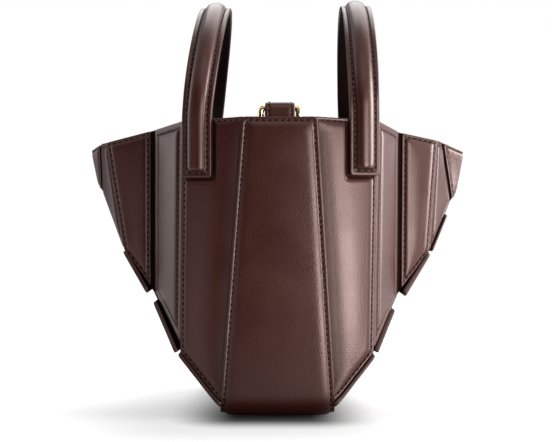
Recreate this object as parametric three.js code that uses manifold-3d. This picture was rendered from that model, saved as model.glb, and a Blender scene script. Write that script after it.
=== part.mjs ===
// Pleated leather tote bag. A centre strip wraps the front, the base and the back. On each side of it
// the wall is folded like a concertina into stiff panels that step out to a wing tip, and keel boards
// close the bag below the panels. Two rolled handles arch from front to back, and a leather tab inside
// each end of the opening holds a hanging metal ring.
// Millimetres, +Z up, +X to the right, front towards -Y. The origin is the middle of the base.
import * as THREE from "three";
import Module from "manifold-3d";

const wasm = await Module();
wasm.setup();

// Clearance between neighbouring pieces.
const GAP = 0.3;
// Details finer than this are dropped from joined and trimmed solids.
const SLIVER = 0.02;

// Panel build-up: heights of its faces, measured outwards from the stitched border.
const PANEL = {
  inside: -2.6, // inner face of the wall layer
  lap: -1.2, // where the wall layer meets the bordered plate
  border: 0,
  pillow: 1.0, // top of the padded field
  borderWidth: 3.6,
  pillowSlope: 1.4,
  groove: 2.2, // dark channel that the plate leaves along a valley
  overlap: 0.1, // layers run into each other by this much before they are joined
  footReach: 8, // length of wall below the plate, before the keel boards cut it off
  tipOverrun: 4, // the wing tip's faces run past their fold by this much before they are joined
};

// One row for each fold line, from the centre strip to the wing tip. X is the distance from the centre
// plane, Y the distance from the middle plane, Z the height; rim and foot are the line's two ends.
// The concertina is opened a little differently on the two sides.
const FOLDS = {
  left: [
    { fold: "seam", rimX: 23.6, rimY: 100.0, rimZ: 203.0, footX: 38.4, footY: 95.6, footZ: 10.4 },
    { fold: "frontRidge", rimX: 64.6, rimY: 86.6, rimZ: 200.6, footX: 66.2, footY: 86.6, footZ: 44.0 },
    { fold: "frontValley", rimX: 87.1, rimY: 50.0, rimZ: 195.9, footX: 87.1, footY: 50.0, footZ: 84.2 },
    { fold: "wingRidge", rimX: 121.4, rimY: 38.2, rimZ: 187.7, footX: 108.7, footY: 42.5, footZ: 112.0 },
    { fold: "wingValley", rimX: 128.6, rimY: 11.0, rimZ: 187.5, footX: 128.4, footY: 6.0, footZ: 154.6 },
    { fold: "wingTip", rimX: 136.3, rimY: 0, rimZ: 183.4, footX: 130.6, footY: 0, footZ: 155.9 },
  ],
  right: [
    { fold: "seam", rimX: 26.4, rimY: 100.0, rimZ: 203.0, footX: 38.4, footY: 95.6, footZ: 10.4 },
    { fold: "frontRidge", rimX: 68.1, rimY: 86.6, rimZ: 201.0, footX: 65.5, footY: 87.4, footZ: 43.6 },
    { fold: "frontValley", rimX: 85.7, rimY: 50.0, rimZ: 194.5, footX: 85.0, footY: 50.0, footZ: 82.0 },
    { fold: "wingRidge", rimX: 113.5, rimY: 38.8, rimZ: 189.1, footX: 107.6, footY: 41.2, footZ: 110.2 },
    { fold: "wingValley", rimX: 119.4, rimY: 10.0, rimZ: 189.2, footX: 126.8, footY: 6.0, footZ: 147.6 },
    { fold: "wingTip", rimX: 136.3, rimY: 0, rimZ: 182.4, footX: 129.8, footY: 0, footZ: 149.4 },
  ],
};

// Keel boards, one under each pair of front and back panels. Drop is the depth of a board's inner face
// below the panels' feet. Cut is the notch at each end of its flanges, at the lower and the upper fold.
const KEEL = { flange: 1.6, endGap: 0.6, baseOverrun: 0.9 };
const KEEL_BOARDS = {
  left: [
    { thickness: 2.2, lowerDrop: 0.5, upperDrop: 0.5, lowerCut: 0.4, upperCut: 0.8 },
    { thickness: 2.2, lowerDrop: 1.5, upperDrop: 1.7, lowerCut: 0.6, upperCut: 4.0 },
    { thickness: 2.2, lowerDrop: 3.4, upperDrop: 0.4, lowerCut: 0.8, upperCut: 1.0 },
    { thickness: 1.2, lowerDrop: 0.3, upperDrop: 0.3, lowerCut: 1.0, upperCut: 1.6 },
  ],
  right: [
    { thickness: 2.2, lowerDrop: 0.5, upperDrop: 0.5, lowerCut: 0.4, upperCut: 1.6 },
    { thickness: 2.2, lowerDrop: 2.0, upperDrop: 1.7, lowerCut: 0.6, upperCut: 12 },
    { thickness: 2.2, lowerDrop: 3.6, upperDrop: 0.4, lowerCut: 0.8, upperCut: 1.0 },
    { thickness: 1.6, lowerDrop: 0.3, upperDrop: 0.3, lowerCut: 1.0, upperCut: 12 },
  ],
};

// Centre strip: its stitched border stands a little proud of the seams, and its padded field is crowned.
const STRIP = { inside: -2.6, baseInside: -6, bendRadius: 10, bendSteps: 6, sideGap: 0.4 };
const STRIP_PROFILE = [
  { inset: 0, rise: 0.6 },
  { inset: 4.2, rise: 0.6 },
  { inset: 5.8, rise: 1.9 },
  { inset: 13, rise: 3.0 },
  { inset: 22, rise: 3.4 },
];
// Share of the crown reached at each distance below the rim.
const STRIP_RIM = [
  { below: 0, share: 0 },
  { below: 4.2, share: 0 },
  { below: 6, share: 0.55 },
  { below: 16, share: 1 },
];

// Rolled handles: a flat strap over a round core, sewn to the panels beside the centre strip.
const HANDLE = {
  width: 21.2,
  flange: 2.0,
  rollRadius: 5.4,
  rollHeight: 3.8,
  rollSides: 6,
  tabBorder: 5, // flat end of the tab below the roll
  rollEnd: 1.2,
  tabRise: 0.06, // share of the roll's height left on the flat end
  springZ: 211,
  legSteps: 7,
  archSteps: 34,
  tabGap: 0.3,
  leanStartZ: 202, // above the rim the arch leans sideways, a little more with height
  leanPower: 1.3,
};
const HANDLE_LINING = { width: 19.3, top: -0.7, bottom: -1.9, startZ: 205 };
// One row for each handle: where its tab's outer edge sits and where the arch passes overhead.
const HANDLES = [
  { side: "left", sign: -1, tabFootZ: 162, edgeInset: 1.6, topX: 44.2, topZ: 284.6 },
  { side: "right", sign: 1, tabFootZ: 163.5, edgeInset: 0.7, topX: 56.2, topZ: 286.2 },
];

// Strap ring and the leather tab that holds it, inside each end of the opening.
const RING = {
  wireRadius: 2.0,
  wireSides: 10,
  innerWidth: 21.6,
  innerHeight: 13.5,
  cornerRadius: 3.0,
  cornerSteps: 4,
  barX: 1.6, // off the middle, as the rim of the strip is
  barY: 91.4,
  barZ: 209.2,
};
const TAB = { width: 20.4, leather: 1.6, boreGap: 0.35, footZ: 173, bendZ: 193, throatZ: 201, arcSteps: 12 };

const LEATHER = new THREE.MeshStandardMaterial({ color: 0x4a2a25, roughness: 0.45, metalness: 0 });
const LINING = new THREE.MeshStandardMaterial({ color: 0x140b0a, roughness: 0.7, metalness: 0 });
const GOLD = new THREE.MeshStandardMaterial({ color: 0xd9b45f, roughness: 0.18, metalness: 1 });

const bag = new THREE.Group();

function addPiece(name, geometry, material, mirrorX = 1, mirrorY = 1, shiftX = 0) {
  geometry.computeVertexNormals();
  const piece = new THREE.Mesh(geometry, material.clone());
  piece.name = name;
  piece.scale.set(mirrorX, mirrorY, 1);
  piece.position.x = shiftX;
  bag.add(piece);
}

// Solids from vertices and triangles

function toGeometry(points, triangles) {
  const geometry = new THREE.BufferGeometry().setFromPoints(points);
  geometry.setIndex(triangles.flat());
  return geometry;
}

function toManifold(points, triangles) {
  const solid = new wasm.Manifold(
    new wasm.Mesh({
      numProp: 3,
      vertProperties: new Float32Array(points.flatMap((p) => p.toArray())),
      triVerts: new Uint32Array(triangles.flat()),
    }),
  );
  return solid;
}

function fromManifold(solid) {
  const mesh = solid.simplify(SLIVER).getMesh();
  const geometry = new THREE.BufferGeometry();
  geometry.setAttribute("position", new THREE.BufferAttribute(mesh.vertProperties, 3));
  geometry.setIndex(new THREE.BufferAttribute(mesh.triVerts, 1));
  return geometry;
}

// A block between two four-cornered faces, each listed as rim start, rim end, foot start, foot end.
// The outer face has its corners clockwise as listed when seen from inside.
const BLOCK_TRIANGLES = [
  [4, 6, 5], [5, 6, 7], // outer face
  [0, 1, 2], [1, 3, 2], // inner face
  [0, 4, 5], [0, 5, 1], // rim
  [2, 3, 7], [2, 7, 6], // foot
  [0, 2, 6], [0, 6, 4], // start
  [1, 5, 7], [1, 7, 3], // end
];

function block(innerFace, outerFace) {
  return toManifold([...innerFace, ...outerFace], BLOCK_TRIANGLES);
}

// Skins a row of equal sections, each a ring of points, and closes the ends with flat caps, or joins
// the last section to the first. capOutline is the section in its own plane, for the caps.
function loft(sections, capOutline) {
  const count = sections[0].length;
  const points = sections.flat();
  const triangles = [];
  const isLoop = !capOutline;
  const spans = isLoop ? sections.length : sections.length - 1;
  for (let s = 0; s < spans; s++) {
    const here = s * count;
    const next = ((s + 1) % sections.length) * count;
    for (let i = 0; i < count; i++) {
      const j = (i + 1) % count;
      triangles.push([here + i, here + j, next + j], [here + i, next + j, next + i]);
    }
  }
  if (!isLoop) {
    const last = (sections.length - 1) * count;
    for (const [a, b, c] of THREE.ShapeUtils.triangulateShape(capOutline, [])) {
      triangles.push([a, c, b], [last + a, last + b, last + c]);
    }
  }
  return toGeometry(points, triangles);
}

// Panels between fold lines, worked out for the front right quarter

function foldPoint(row, end) {
  return new THREE.Vector3(row[`${end}X`], -row[`${end}Y`], row[`${end}Z`]);
}

// The patch between two folds: its corners, its outward direction and its outline in its own plane.
function makePatch(startRow, endRow) {
  const corners = [
    foldPoint(startRow, "rim"),
    foldPoint(endRow, "rim"),
    foldPoint(startRow, "foot"),
    foldPoint(endRow, "foot"),
  ];
  const [rimStart, rimEnd, footStart, footEnd] = corners;
  const across = rimEnd.clone().sub(rimStart).add(footEnd).sub(footStart).normalize();
  const down = footStart.clone().sub(rimStart).add(footEnd).sub(rimEnd);
  const outward = down.clone().cross(across).normalize();
  const fall = across.clone().cross(outward).normalize();
  const flat = corners.map((p) => new THREE.Vector2(p.dot(across), p.dot(fall)));
  return { corners, across, fall, outward, flat };
}

function patchPoint(patch, a, b) {
  const [rimStart, rimEnd, footStart, footEnd] = patch.corners;
  const rim = rimStart.clone().lerp(rimEnd, a);
  return rim.lerp(footStart.clone().lerp(footEnd, a), b);
}

// The place of a flat point on the patch, as shares across and down, by a few Newton steps.
const NEWTON_STEPS = 12;
function patchShares(patch, target) {
  const [p, q, r, s] = patch.flat;
  let a = 0.5;
  let b = 0.5;
  for (let step = 0; step < NEWTON_STEPS; step++) {
    const rim = p.clone().lerp(q, a);
    const foot = r.clone().lerp(s, a);
    const miss = rim.clone().lerp(foot, b).sub(target);
    const byA = q.clone().sub(p).lerp(s.clone().sub(r), b);
    const byB = foot.sub(rim);
    const cross = byA.cross(byB);
    a -= miss.cross(byB) / cross;
    b -= byA.cross(miss) / cross;
  }
  return [a, b];
}

function crossing(lineA, lineB) {
  const dirA = lineA[1].clone().sub(lineA[0]);
  const dirB = lineB[1].clone().sub(lineB[0]);
  const share = lineB[0].clone().sub(lineA[0]).cross(dirB) / dirA.cross(dirB);
  return lineA[0].clone().addScaledVector(dirA, share);
}

// One face of a panel layer: the patch drawn in from its edges and lifted along its outward direction.
function layerFace(patch, height, inset) {
  const [rimStart, rimEnd, footStart, footEnd] = patch.flat;
  const middle = rimStart.clone().add(rimEnd).add(footStart).add(footEnd).divideScalar(4);
  const moved = (from, to, distance) => {
    const along = to.clone().sub(from).normalize();
    const inward = new THREE.Vector2(-along.y, along.x);
    if (inward.dot(middle.clone().sub(from)) < 0) inward.negate();
    return [from, to].map((p) => p.clone().addScaledVector(inward, distance));
  };
  const rim = moved(rimStart, rimEnd, inset.rim);
  const foot = moved(footStart, footEnd, inset.foot);
  const start = moved(rimStart, footStart, inset.start);
  const end = moved(rimEnd, footEnd, inset.end);
  const corners = [crossing(rim, start), crossing(rim, end), crossing(foot, start), crossing(foot, end)];
  return corners.map((corner) =>
    patchPoint(patch, ...patchShares(patch, corner)).addScaledVector(patch.outward, height),
  );
}

// Turn of the wall at a fold between two outward directions: above zero at a ridge, below at a valley.
function turnAt(outwardBefore, outwardAfter) {
  const turn = outwardBefore.angleTo(outwardAfter);
  return outwardBefore.x < outwardAfter.x ? turn : -turn;
}

// How far a layer at some height stops short of a fold, so that neighbours meet in a mitre.
function mitreInset(turn, height) {
  return GAP / 2 / Math.cos(turn / 2) - height * Math.tan(turn / 2);
}

// How far the wall layer and the bordered plate stop short of a fold. At a valley the plate leaves a groove.
function foldEdge(turn) {
  const mitre = (height) => mitreInset(turn, height);
  return { wall: mitre, plate: turn < 0 ? () => PANEL.groove : mitre };
}

// A panel of three layers: wall, bordered plate and padded field. The wall runs past the plate's foot by
// footReach, to be trimmed where it meets the keel boards.
function panelSolid(patch, startEdge, endEdge, footReach, isPadded) {
  const wallFace = (height) =>
    layerFace(patch, height, {
      rim: 0,
      foot: -footReach,
      start: startEdge.wall(height),
      end: endEdge.wall(height),
    });
  const plateFace = (height) =>
    layerFace(patch, height, {
      rim: 0,
      foot: 0,
      start: startEdge.plate(height),
      end: endEdge.plate(height),
    });
  const pillowFace = (height, extra) => {
    const inset = PANEL.borderWidth + extra;
    return layerFace(patch, height, {
      rim: inset,
      foot: inset,
      start: inset + startEdge.plate(PANEL.border),
      end: inset + endEdge.plate(PANEL.border),
    });
  };
  let solid = block(wallFace(PANEL.inside), wallFace(PANEL.lap));
  solid = solid.add(block(plateFace(PANEL.lap - PANEL.overlap), plateFace(PANEL.border)));
  if (isPadded) {
    const foot = pillowFace(PANEL.border - PANEL.overlap, 0);
    solid = solid.add(block(foot, pillowFace(PANEL.pillow, PANEL.pillowSlope)));
  }
  return solid;
}

// Keel boards

// The inner and outer faces of a board as corners, reaching past the panels by flange, cut short at the
// lower and upper folds, and grown all round by grow.
function keelFaces(lowerRow, upperRow, board, flange, lowerCut, upperCut, grow = 0) {
  const lower = foldPoint(lowerRow, "foot").setY(0);
  const slope = foldPoint(upperRow, "foot").setY(0).sub(lower);
  const length = slope.length();
  slope.divideScalar(length);
  const outward = new THREE.Vector3(slope.z, 0, -slope.x);
  const narrowing = (lowerRow.footY - upperRow.footY) / length;
  const reach = (flange + grow) * Math.hypot(1, narrowing);
  const corner = (along, side, depth) => {
    const halfWidth = lowerRow.footY - narrowing * along + reach;
    const drop = THREE.MathUtils.lerp(board.lowerDrop, board.upperDrop, along / length) + depth;
    return new THREE.Vector3(0, side * halfWidth, 0)
      .add(lower)
      .addScaledVector(slope, along)
      .addScaledVector(outward, drop);
  };
  const from = lowerCut - grow;
  const to = length - upperCut + grow;
  return [-grow, board.thickness + grow].map((depth) => [
    corner(to, -1, depth),
    corner(to, 1, depth),
    corner(from, -1, depth),
    corner(from, 1, depth),
  ]);
}

// Cuts a panel off just clear of a board's inner face.
function trimAbove(solid, [innerFace]) {
  const [upperFront, upperBack, lowerFront] = innerFace;
  const across = upperBack.clone().sub(upperFront);
  const up = upperFront.clone().sub(lowerFront);
  const inward = across.cross(up).normalize();
  if (inward.z < 0) inward.negate();
  return solid.trimByPlane(inward.toArray(), inward.dot(upperFront) + GAP);
}

// The wing tip: one piece of leather folded round the end of the wing, so its two faces are joined.
function wingTip(patch, startEdge) {
  const past = () => -PANEL.tipOverrun;
  const face = panelSolid(patch, startEdge, { wall: past, plate: past }, 0, false);
  const front = face.trimByPlane([0, -1, 0], -PANEL.overlap);
  return front.add(front.mirror([0, 1, 0]));
}

function addSide(side, mirrorX) {
  const rows = FOLDS[side];
  const boards = KEEL_BOARDS[side];
  const patches = rows.slice(1).map((row, i) => makePatch(rows[i], row));
  const front = new THREE.Vector3(0, -1, 0);
  const edges = patches.map((patch, i) => foldEdge(turnAt(i ? patches[i - 1].outward : front, patch.outward)));
  const bodyFaces = (i, grow) => {
    const lowerCut = i === 0 ? -KEEL.baseOverrun : KEEL.endGap;
    return keelFaces(rows[i], rows[i + 1], boards[i], 0, lowerCut, KEEL.endGap, grow);
  };
  boards.forEach((board, i) => {
    let panel = panelSolid(patches[i], edges[i], edges[i + 1], PANEL.footReach, true);
    panel = trimAbove(panel, bodyFaces(i));
    const startsAtRidge = i % 2 === 1;
    if (startsAtRidge) panel = trimAbove(panel, bodyFaces(i - 1));
    else if (i > 0) panel = panel.subtract(block(...bodyFaces(i - 1, GAP)));
    const geometry = fromManifold(panel);
    addPiece(`panel_${side}_front_${i + 1}`, geometry, LEATHER, mirrorX, 1);
    addPiece(`panel_${side}_back_${i + 1}`, geometry.clone(), LEATHER, mirrorX, -1);
    const body = block(...bodyFaces(i));
    const { lowerCut, upperCut } = board;
    const flange = block(...keelFaces(rows[i], rows[i + 1], board, KEEL.flange, lowerCut, upperCut));
    addPiece(`keel_${side}_${i + 1}`, fromManifold(body.add(flange)), LEATHER, mirrorX, 1);
  });
  const tip = wingTip(patches.at(-1), edges.at(-1));
  addPiece(`wing_tip_${side}`, fromManifold(tip), LEATHER, mirrorX, 1);
}

// Centre strip

function centreStrip() {
  const [seam] = FOLDS.right;
  const lean = (seam.rimX - FOLDS.left[0].rimX) / 2; // its rim sits a little to the right
  const crown = STRIP_PROFILE.at(-1).rise;
  const rim = new THREE.Vector2(-seam.rimY, seam.rimZ);
  const foot = new THREE.Vector2(-seam.footY, seam.footZ);
  const fall = foot.clone().sub(rim).normalize();
  const faceOut = new THREE.Vector2(fall.y, -fall.x);
  const baseZ = crown; // the border's height where the crowned base rests on the floor
  const bendZ = baseZ + STRIP.bendRadius;
  const onFace = (z) => rim.clone().addScaledVector(fall, (z - rim.y) / fall.y);
  const bendCentre = onFace(bendZ).addScaledVector(faceOut, -STRIP.bendRadius);

  const stations = STRIP_RIM.map(({ below, share }) => ({
    place: rim.clone().addScaledVector(fall, below),
    out: faceOut,
    share,
    inside: STRIP.inside,
  }));
  const startAngle = faceOut.angle();
  const endAngle = new THREE.Vector2(0, -1).angle();
  for (let step = 0; step <= STRIP.bendSteps; step++) {
    const turned = step / STRIP.bendSteps;
    const angle = THREE.MathUtils.lerp(startAngle, endAngle, turned);
    const out = new THREE.Vector2(Math.cos(angle), Math.sin(angle));
    const inside = THREE.MathUtils.lerp(STRIP.inside, STRIP.baseInside, turned);
    stations.push({ place: bendCentre.clone().addScaledVector(out, STRIP.bendRadius), out, share: 1, inside });
  }
  const backStations = stations.toReversed().map(({ place, out, ...rest }) => ({
    place: new THREE.Vector2(-place.x, place.y),
    out: new THREE.Vector2(-out.x, out.y),
    ...rest,
  }));

  const outline = ({ place, share, inside }) => {
    const shareDown = Math.min(1, (seam.rimZ - place.y) / (seam.rimZ - seam.footZ));
    const half = THREE.MathUtils.lerp(seam.rimX - lean, seam.footX, shareDown) - STRIP.sideGap;
    const middle = lean * (1 - shareDown);
    const border = STRIP_PROFILE[0].rise;
    const outer = STRIP_PROFILE.map(
      ({ inset, rise }) => new THREE.Vector2(half - inset, border + (rise - border) * share),
    );
    const mirrored = outer.toReversed().map((p) => new THREE.Vector2(-p.x, p.y));
    return [
      new THREE.Vector2(half, inside),
      ...outer,
      ...mirrored,
      new THREE.Vector2(-half, inside),
    ].map((p) => p.setX(p.x + middle));
  };
  const section = (station) =>
    outline(station).map(
      (p) =>
        new THREE.Vector3(
          p.x,
          station.place.x + station.out.x * p.y,
          station.place.y + station.out.y * p.y,
        ),
    );
  const all = [...stations, ...backStations];
  return loft(all.map(section), outline(all[0]));
}

// Handles, worked out for the right side and mirrored for the left

// Stations along the strap's back face, each with the strap's across and outward directions.
function handleStations({ side, tabFootZ, edgeInset, topX, topZ }) {
  const [seam, ridge] = FOLDS[side];
  const panel = makePatch(seam, ridge);
  const legX = ridge.rimX - edgeInset - (HANDLE.width / 2) * panel.across.x;
  const shareOut = (legX - seam.rimX) / (ridge.rimX - seam.rimX);
  const lift = PANEL.pillow + HANDLE.tabGap;
  const leg = foldPoint(seam, "rim").lerp(foldPoint(ridge, "rim"), shareOut);
  leg.addScaledVector(panel.outward, lift);
  const legZ = [tabFootZ, tabFootZ + HANDLE.tabBorder, tabFootZ + HANDLE.tabBorder + HANDLE.rollEnd];
  const firstZ = legZ.at(-1);
  for (let step = 1; step <= HANDLE.legSteps; step++) {
    legZ.push(THREE.MathUtils.lerp(firstZ, HANDLE.springZ, step / HANDLE.legSteps));
  }
  const path = legZ.map((z) => ({ y: leg.y, z, roll: z < firstZ ? HANDLE.tabRise : 1 }));
  for (let step = 1; step < HANDLE.archSteps; step++) {
    const angle = (Math.PI * step) / HANDLE.archSteps;
    const z = HANDLE.springZ + (topZ - HANDLE.springZ) * Math.sin(angle);
    path.push({ y: leg.y * Math.cos(angle), z, roll: 1 });
  }
  path.push(...path.slice(0, legZ.length).toReversed().map((p) => ({ ...p, y: -p.y })));

  const centres = path.map(({ y, z }) => {
    const climb = Math.max(0, z - HANDLE.leanStartZ) / (topZ - HANDLE.leanStartZ);
    return new THREE.Vector3(THREE.MathUtils.lerp(leg.x, topX, climb ** HANDLE.leanPower), y, z);
  });
  const straight = new THREE.Vector3(-1, 0, 0);
  return centres.map((centre, i) => {
    const before = centres[Math.max(0, i - 1)];
    const after = centres[Math.min(centres.length - 1, i + 1)];
    const along = after.clone().sub(before).normalize();
    const tabAcross = panel.across.clone().negate();
    if (centre.y > 0) tabAcross.y *= -1;
    const untwist = THREE.MathUtils.smoothstep(centre.z, HANDLE.leanStartZ, topZ);
    const across = tabAcross.lerp(straight, untwist);
    across.addScaledVector(along, -across.dot(along)).normalize();
    const outward = along.clone().cross(across);
    return { centre, across, outward, roll: path[i].roll };
  });
}

function placeOutline(outline, { centre, across, outward }) {
  return outline.map((p) =>
    centre.clone().addScaledVector(across, p.x).addScaledVector(outward, p.y),
  );
}

// The strap's section: a flat band with a round core raised along its middle.
function strapOutline(roll) {
  const half = HANDLE.width / 2;
  const points = [
    new THREE.Vector2(half, 0),
    new THREE.Vector2(half, HANDLE.flange),
  ];
  for (let i = 0; i <= HANDLE.rollSides; i++) {
    const angle = (Math.PI * i) / HANDLE.rollSides;
    const rise = HANDLE.rollHeight * Math.sin(angle) * roll;
    points.push(new THREE.Vector2(HANDLE.rollRadius * Math.cos(angle), HANDLE.flange + rise));
  }
  points.push(new THREE.Vector2(-half, HANDLE.flange), new THREE.Vector2(-half, 0));
  return points;
}

function liningOutline() {
  const half = HANDLE_LINING.width / 2;
  return [
    new THREE.Vector2(half, HANDLE_LINING.bottom),
    new THREE.Vector2(half, HANDLE_LINING.top),
    new THREE.Vector2(-half, HANDLE_LINING.top),
    new THREE.Vector2(-half, HANDLE_LINING.bottom),
  ];
}

function addHandle(row) {
  const stations = handleStations(row);
  const strap = stations.map((station) => placeOutline(strapOutline(station.roll), station));
  addPiece(`handle_${row.side}`, loft(strap, strapOutline(HANDLE.tabRise)), LEATHER, row.sign);
  const free = stations.filter(({ centre }) => centre.z >= HANDLE_LINING.startZ);
  const lining = free.map((station) => placeOutline(liningOutline(), station));
  addPiece(`handle_lining_${row.side}`, loft(lining, liningOutline()), LINING, row.sign);
}

// Strap rings and their tabs, worked out for the front and mirrored for the back

// The tab's side outline: up from the wall, over the ring's bar and down to the throat.
function tabSolid() {
  const [seam] = FOLDS.right;
  const lean = (seam.rimY - seam.footY) / (seam.rimZ - seam.footZ);
  const wallY = (z) => -seam.rimY + (seam.rimZ - z) * lean - STRIP.inside + GAP;
  const outerRadius = RING.wireRadius + TAB.boreGap + TAB.leather;
  const doubled = 2 * TAB.leather;
  const shape = new THREE.Shape();
  shape.moveTo(wallY(TAB.footZ), TAB.footZ);
  shape.lineTo(wallY(TAB.footZ) + doubled, TAB.footZ);
  shape.lineTo(wallY(TAB.bendZ) + doubled, TAB.bendZ);
  shape.lineTo(-RING.barY - outerRadius + doubled, TAB.throatZ);
  const throatAngle = -Math.PI / 4;
  shape.absarc(-RING.barY, RING.barZ, outerRadius, throatAngle, Math.PI, false);
  shape.lineTo(wallY(TAB.bendZ), TAB.bendZ);
  const bore = new THREE.Path();
  bore.absarc(-RING.barY, RING.barZ, RING.wireRadius + TAB.boreGap, 0, 2 * Math.PI, true);
  shape.holes.push(bore);
  const geometry = new THREE.ExtrudeGeometry(shape, {
    depth: TAB.width,
    bevelEnabled: false,
    curveSegments: TAB.arcSteps,
  });
  geometry.translate(0, 0, -TAB.width / 2);
  // Extruded along Z with the outline in XY: turn it so that the outline stands in the YZ plane.
  const turn = new THREE.Matrix4().makeBasis(
    new THREE.Vector3(0, 1, 0),
    new THREE.Vector3(0, 0, 1),
    new THREE.Vector3(1, 0, 0),
  );
  geometry.applyMatrix4(turn);
  return geometry;
}

// A closed loop of round wire, hanging from its top bar.
function ringSolid() {
  const halfWidth = RING.innerWidth / 2 + RING.wireRadius;
  const top = RING.barZ;
  const bottom = RING.barZ - RING.innerHeight - 2 * RING.wireRadius;
  const corners = [
    { x: halfWidth, z: top, start: 0 },
    { x: -halfWidth, z: top, start: Math.PI / 2 },
    { x: -halfWidth, z: bottom, start: Math.PI },
    { x: halfWidth, z: bottom, start: 1.5 * Math.PI },
  ];
  const sections = [];
  for (const { x, z, start } of corners) {
    const centreX = x - Math.sign(x) * RING.cornerRadius;
    const centreZ = z + (z === top ? -1 : 1) * RING.cornerRadius;
    for (let step = 0; step <= RING.cornerSteps; step++) {
      const angle = start + (Math.PI / 2) * (step / RING.cornerSteps);
      const out = new THREE.Vector3(Math.cos(angle), 0, Math.sin(angle));
      const centre = new THREE.Vector3(centreX, -RING.barY, centreZ).addScaledVector(out, RING.cornerRadius);
      const section = [];
      for (let i = 0; i < RING.wireSides; i++) {
        const around = (2 * Math.PI * i) / RING.wireSides;
        const point = centre.clone().addScaledVector(out, RING.wireRadius * Math.cos(around));
        point.y += RING.wireRadius * Math.sin(around);
        section.push(point);
      }
      sections.push(section);
    }
  }
  return loft(sections);
}

addPiece("centre_strip", centreStrip(), LEATHER);
addSide("left", -1);
addSide("right", 1);
HANDLES.forEach(addHandle);
for (const [end, mirrorY] of [["front", 1], ["back", -1]]) {
  addPiece(`ring_tab_${end}`, tabSolid(), LEATHER, 1, mirrorY, RING.barX);
  addPiece(`strap_ring_${end}`, ringSolid(), GOLD, 1, mirrorY, RING.barX);
}

export default bag;
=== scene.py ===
import math
import bmesh
import bpy
import numpy as np
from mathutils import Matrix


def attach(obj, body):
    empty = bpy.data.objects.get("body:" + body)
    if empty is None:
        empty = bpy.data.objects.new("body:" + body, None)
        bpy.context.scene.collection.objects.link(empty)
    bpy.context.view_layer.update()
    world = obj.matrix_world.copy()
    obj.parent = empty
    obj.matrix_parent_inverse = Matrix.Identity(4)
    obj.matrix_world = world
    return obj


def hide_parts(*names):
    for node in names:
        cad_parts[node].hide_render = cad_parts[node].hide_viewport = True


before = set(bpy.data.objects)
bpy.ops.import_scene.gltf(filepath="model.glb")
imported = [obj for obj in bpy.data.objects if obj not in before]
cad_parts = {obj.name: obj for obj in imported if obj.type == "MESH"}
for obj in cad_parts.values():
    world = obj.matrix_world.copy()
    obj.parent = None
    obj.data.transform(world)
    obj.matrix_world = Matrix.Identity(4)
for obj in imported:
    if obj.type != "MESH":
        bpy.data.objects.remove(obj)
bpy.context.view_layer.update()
mm = 0.001  # lengths below are millimetres, meshes are metres
print("frame loaded:", len(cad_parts), "solids")


def addObject(name, data):
    made = bpy.data.objects.new(name, data)
    bpy.context.collection.objects.link(made)
    return made


# view of the photo: level camera in front of the bag, horizon a little above the picture's middle
view = dict(away=1141.0, height=147.0, lens=100.8, sensor=36, horizonRow=200, rows=442, columns=555, reach=30)


def makeCamera():
    data = bpy.data.cameras.new("photoCamera")
    data.sensor_width = view["sensor"]
    data.lens = view["lens"]
    data.shift_y = (view["horizonRow"] - view["rows"] / 2) / view["columns"]
    data.clip_end = view["reach"]
    camera = addObject("photoCamera", data)
    camera.location = (0, -view["away"] * mm, view["height"] * mm)
    camera.rotation_euler = (math.pi / 2, 0, 0)
    bpy.context.scene.camera = camera


makeCamera()
bpy.context.scene.view_settings.view_transform = "Standard"


# shader building: a wire is one socket, and sums on wires become Math nodes
class Wire:
    def __init__(self, shop, socket):
        self.shop = shop
        self.socket = socket

    def __add__(self, other):
        return self.shop.maths("ADD", self, other)

    def __sub__(self, other):
        return self.shop.maths("SUBTRACT", self, other)

    def __rsub__(self, other):
        return self.shop.maths("SUBTRACT", other, self)

    def __mul__(self, other):
        return self.shop.maths("MULTIPLY", self, other)

    __radd__ = __add__
    __rmul__ = __mul__


class Shop:
    def __init__(self, tree):
        self.tree = tree

    def feed(self, node, inputs):
        for key, value in inputs.items():
            if isinstance(value, Wire):
                self.tree.links.new(value.socket, node.inputs[key])
            else:
                node.inputs[key].default_value = value

    def node(self, kind, inputs=None, output=0, **settings):
        made = self.tree.nodes.new(kind)
        for key, value in settings.items():
            setattr(made, key, value)
        self.feed(made, inputs or {})
        return Wire(self, made.outputs[output])

    def maths(self, operation, first, second=0.0):
        return self.node("ShaderNodeMath", {0: first, 1: second}, operation=operation)

    def part(self, vector, axis):
        return self.node("ShaderNodeSeparateXYZ", {0: vector}, axis)

    def vector(self, **parts):
        return self.node("ShaderNodeCombineXYZ", parts)

    def blend(self, amount, first, second):
        inputs = {0: amount, 6: first, 7: second}
        return self.node("ShaderNodeMix", inputs, 2, data_type="RGBA", clamp_factor=True)

    def ramp(self, value, start, end, low=0.0, high=1.0, curve="SMOOTHSTEP"):
        inputs = {"Value": value, "From Min": start, "From Max": end, "To Min": low, "To Max": high}
        return self.node("ShaderNodeMapRange", inputs, interpolation_type=curve)

    def noise(self, where, scale, detail):
        return self.node("ShaderNodeTexNoise", {"Vector": where, "Scale": scale, "Detail": detail})

    def bump(self, height, strength, depth):
        return self.node("ShaderNodeBump", {"Height": height, "Strength": strength, "Distance": depth * mm})

    def attribute(self, name):
        return self.node("ShaderNodeAttribute", None, "Fac", attribute_name=name)

    def plug(self, surface, **inputs):
        self.feed(surface, {name.replace("_", " "): value for name, value in inputs.items()})


def newMaterial(name):
    material = bpy.data.materials.new(name)
    material.use_nodes = True
    shop = Shop(material.node_tree)
    surface = material.node_tree.nodes["Principled BSDF"]
    return material, shop, surface, shop.node("ShaderNodeTexCoord", None, "Object")


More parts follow.
